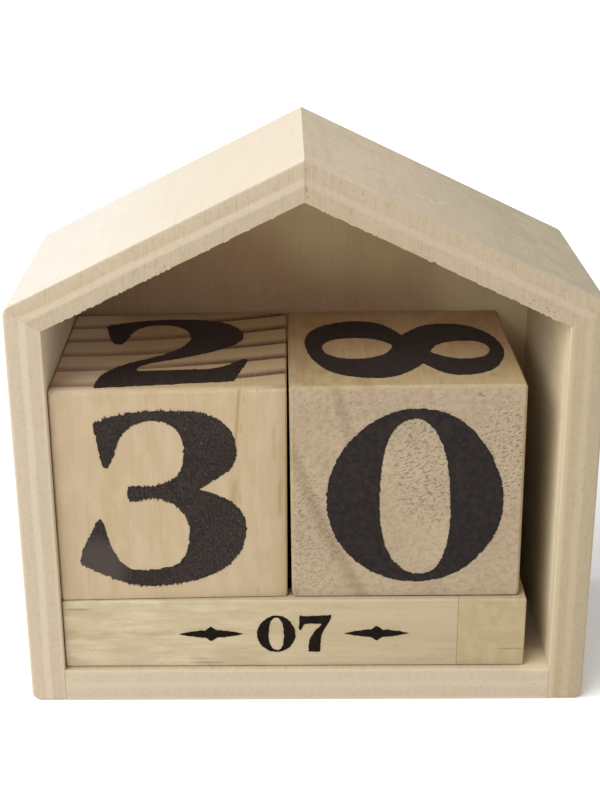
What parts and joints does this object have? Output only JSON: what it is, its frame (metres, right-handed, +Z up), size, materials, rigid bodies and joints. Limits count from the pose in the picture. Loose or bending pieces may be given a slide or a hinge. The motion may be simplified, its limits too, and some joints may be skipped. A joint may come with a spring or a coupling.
{
  "type": "perpetual desk calendar",
  "caption": "House-shaped plywood case open at the front, with number cubes on month bars that slide out to be turned and put back to show the date.",
  "frame": {"origin": "middle of the underside of the case, on the surface it stands on", "axes": "+Z up, the open front faces -Y, +X to the right as seen from the front"},
  "size_m": [0.1116, 0.0514, 0.1108],
  "materials": {
    "case_plywood": "bare sanded birch-like plywood, no varnish",
    "back_plywood": "bare thin plywood, slightly browner",
    "cube_pine": "bare sanded softwood",
    "bar_pine": "bare sanded softwood",
    "ink": "thin matt brown-black printing ink"
  },
  "bodies": {
    "case": {"base_board": "case_plywood", "left_wall": "case_plywood", "right_wall": "case_plywood", "left_roof_board": "case_plywood", "right_roof_board": "case_plywood", "back_panel": "back_plywood"},
    "tens": {"tens_cube": "cube_pine", "tens_numerals": "ink"},
    "units": {"units_cube": "cube_pine", "units_numerals": "ink"},
    "rear_bar": {"rear_month_bar": "bar_pine", "rear_month_numbers": "ink"},
    "middle_bar": {"middle_month_bar": "bar_pine", "middle_month_numbers": "ink"},
    "front_bar": {"front_month_bar": "bar_pine", "front_bar_end_block": "bar_pine", "front_month_numbers": "ink"}
  },
  "joints": [
    {"name": "tens_cube_slide", "type": "slide", "parent": "case", "child": "tens", "axis": [0, -1, 0], "range_m": [0, 0.05]},
    {"name": "units_cube_slide", "type": "slide", "parent": "case", "child": "units", "axis": [0, -1, 0], "range_m": [0, 0.05]},
    {"name": "rear_bar_slide", "type": "slide", "parent": "case", "child": "rear_bar", "axis": [0, -1, 0], "range_m": [0, 0.05]},
    {"name": "middle_bar_slide", "type": "slide", "parent": "rear_bar", "child": "middle_bar", "axis": [0, -1, 0], "range_m": [0, 0.035]},
    {"name": "front_bar_slide", "type": "slide", "parent": "middle_bar", "child": "front_bar", "axis": [0, -1, 0], "range_m": [0, 0.02]}
  ]
}
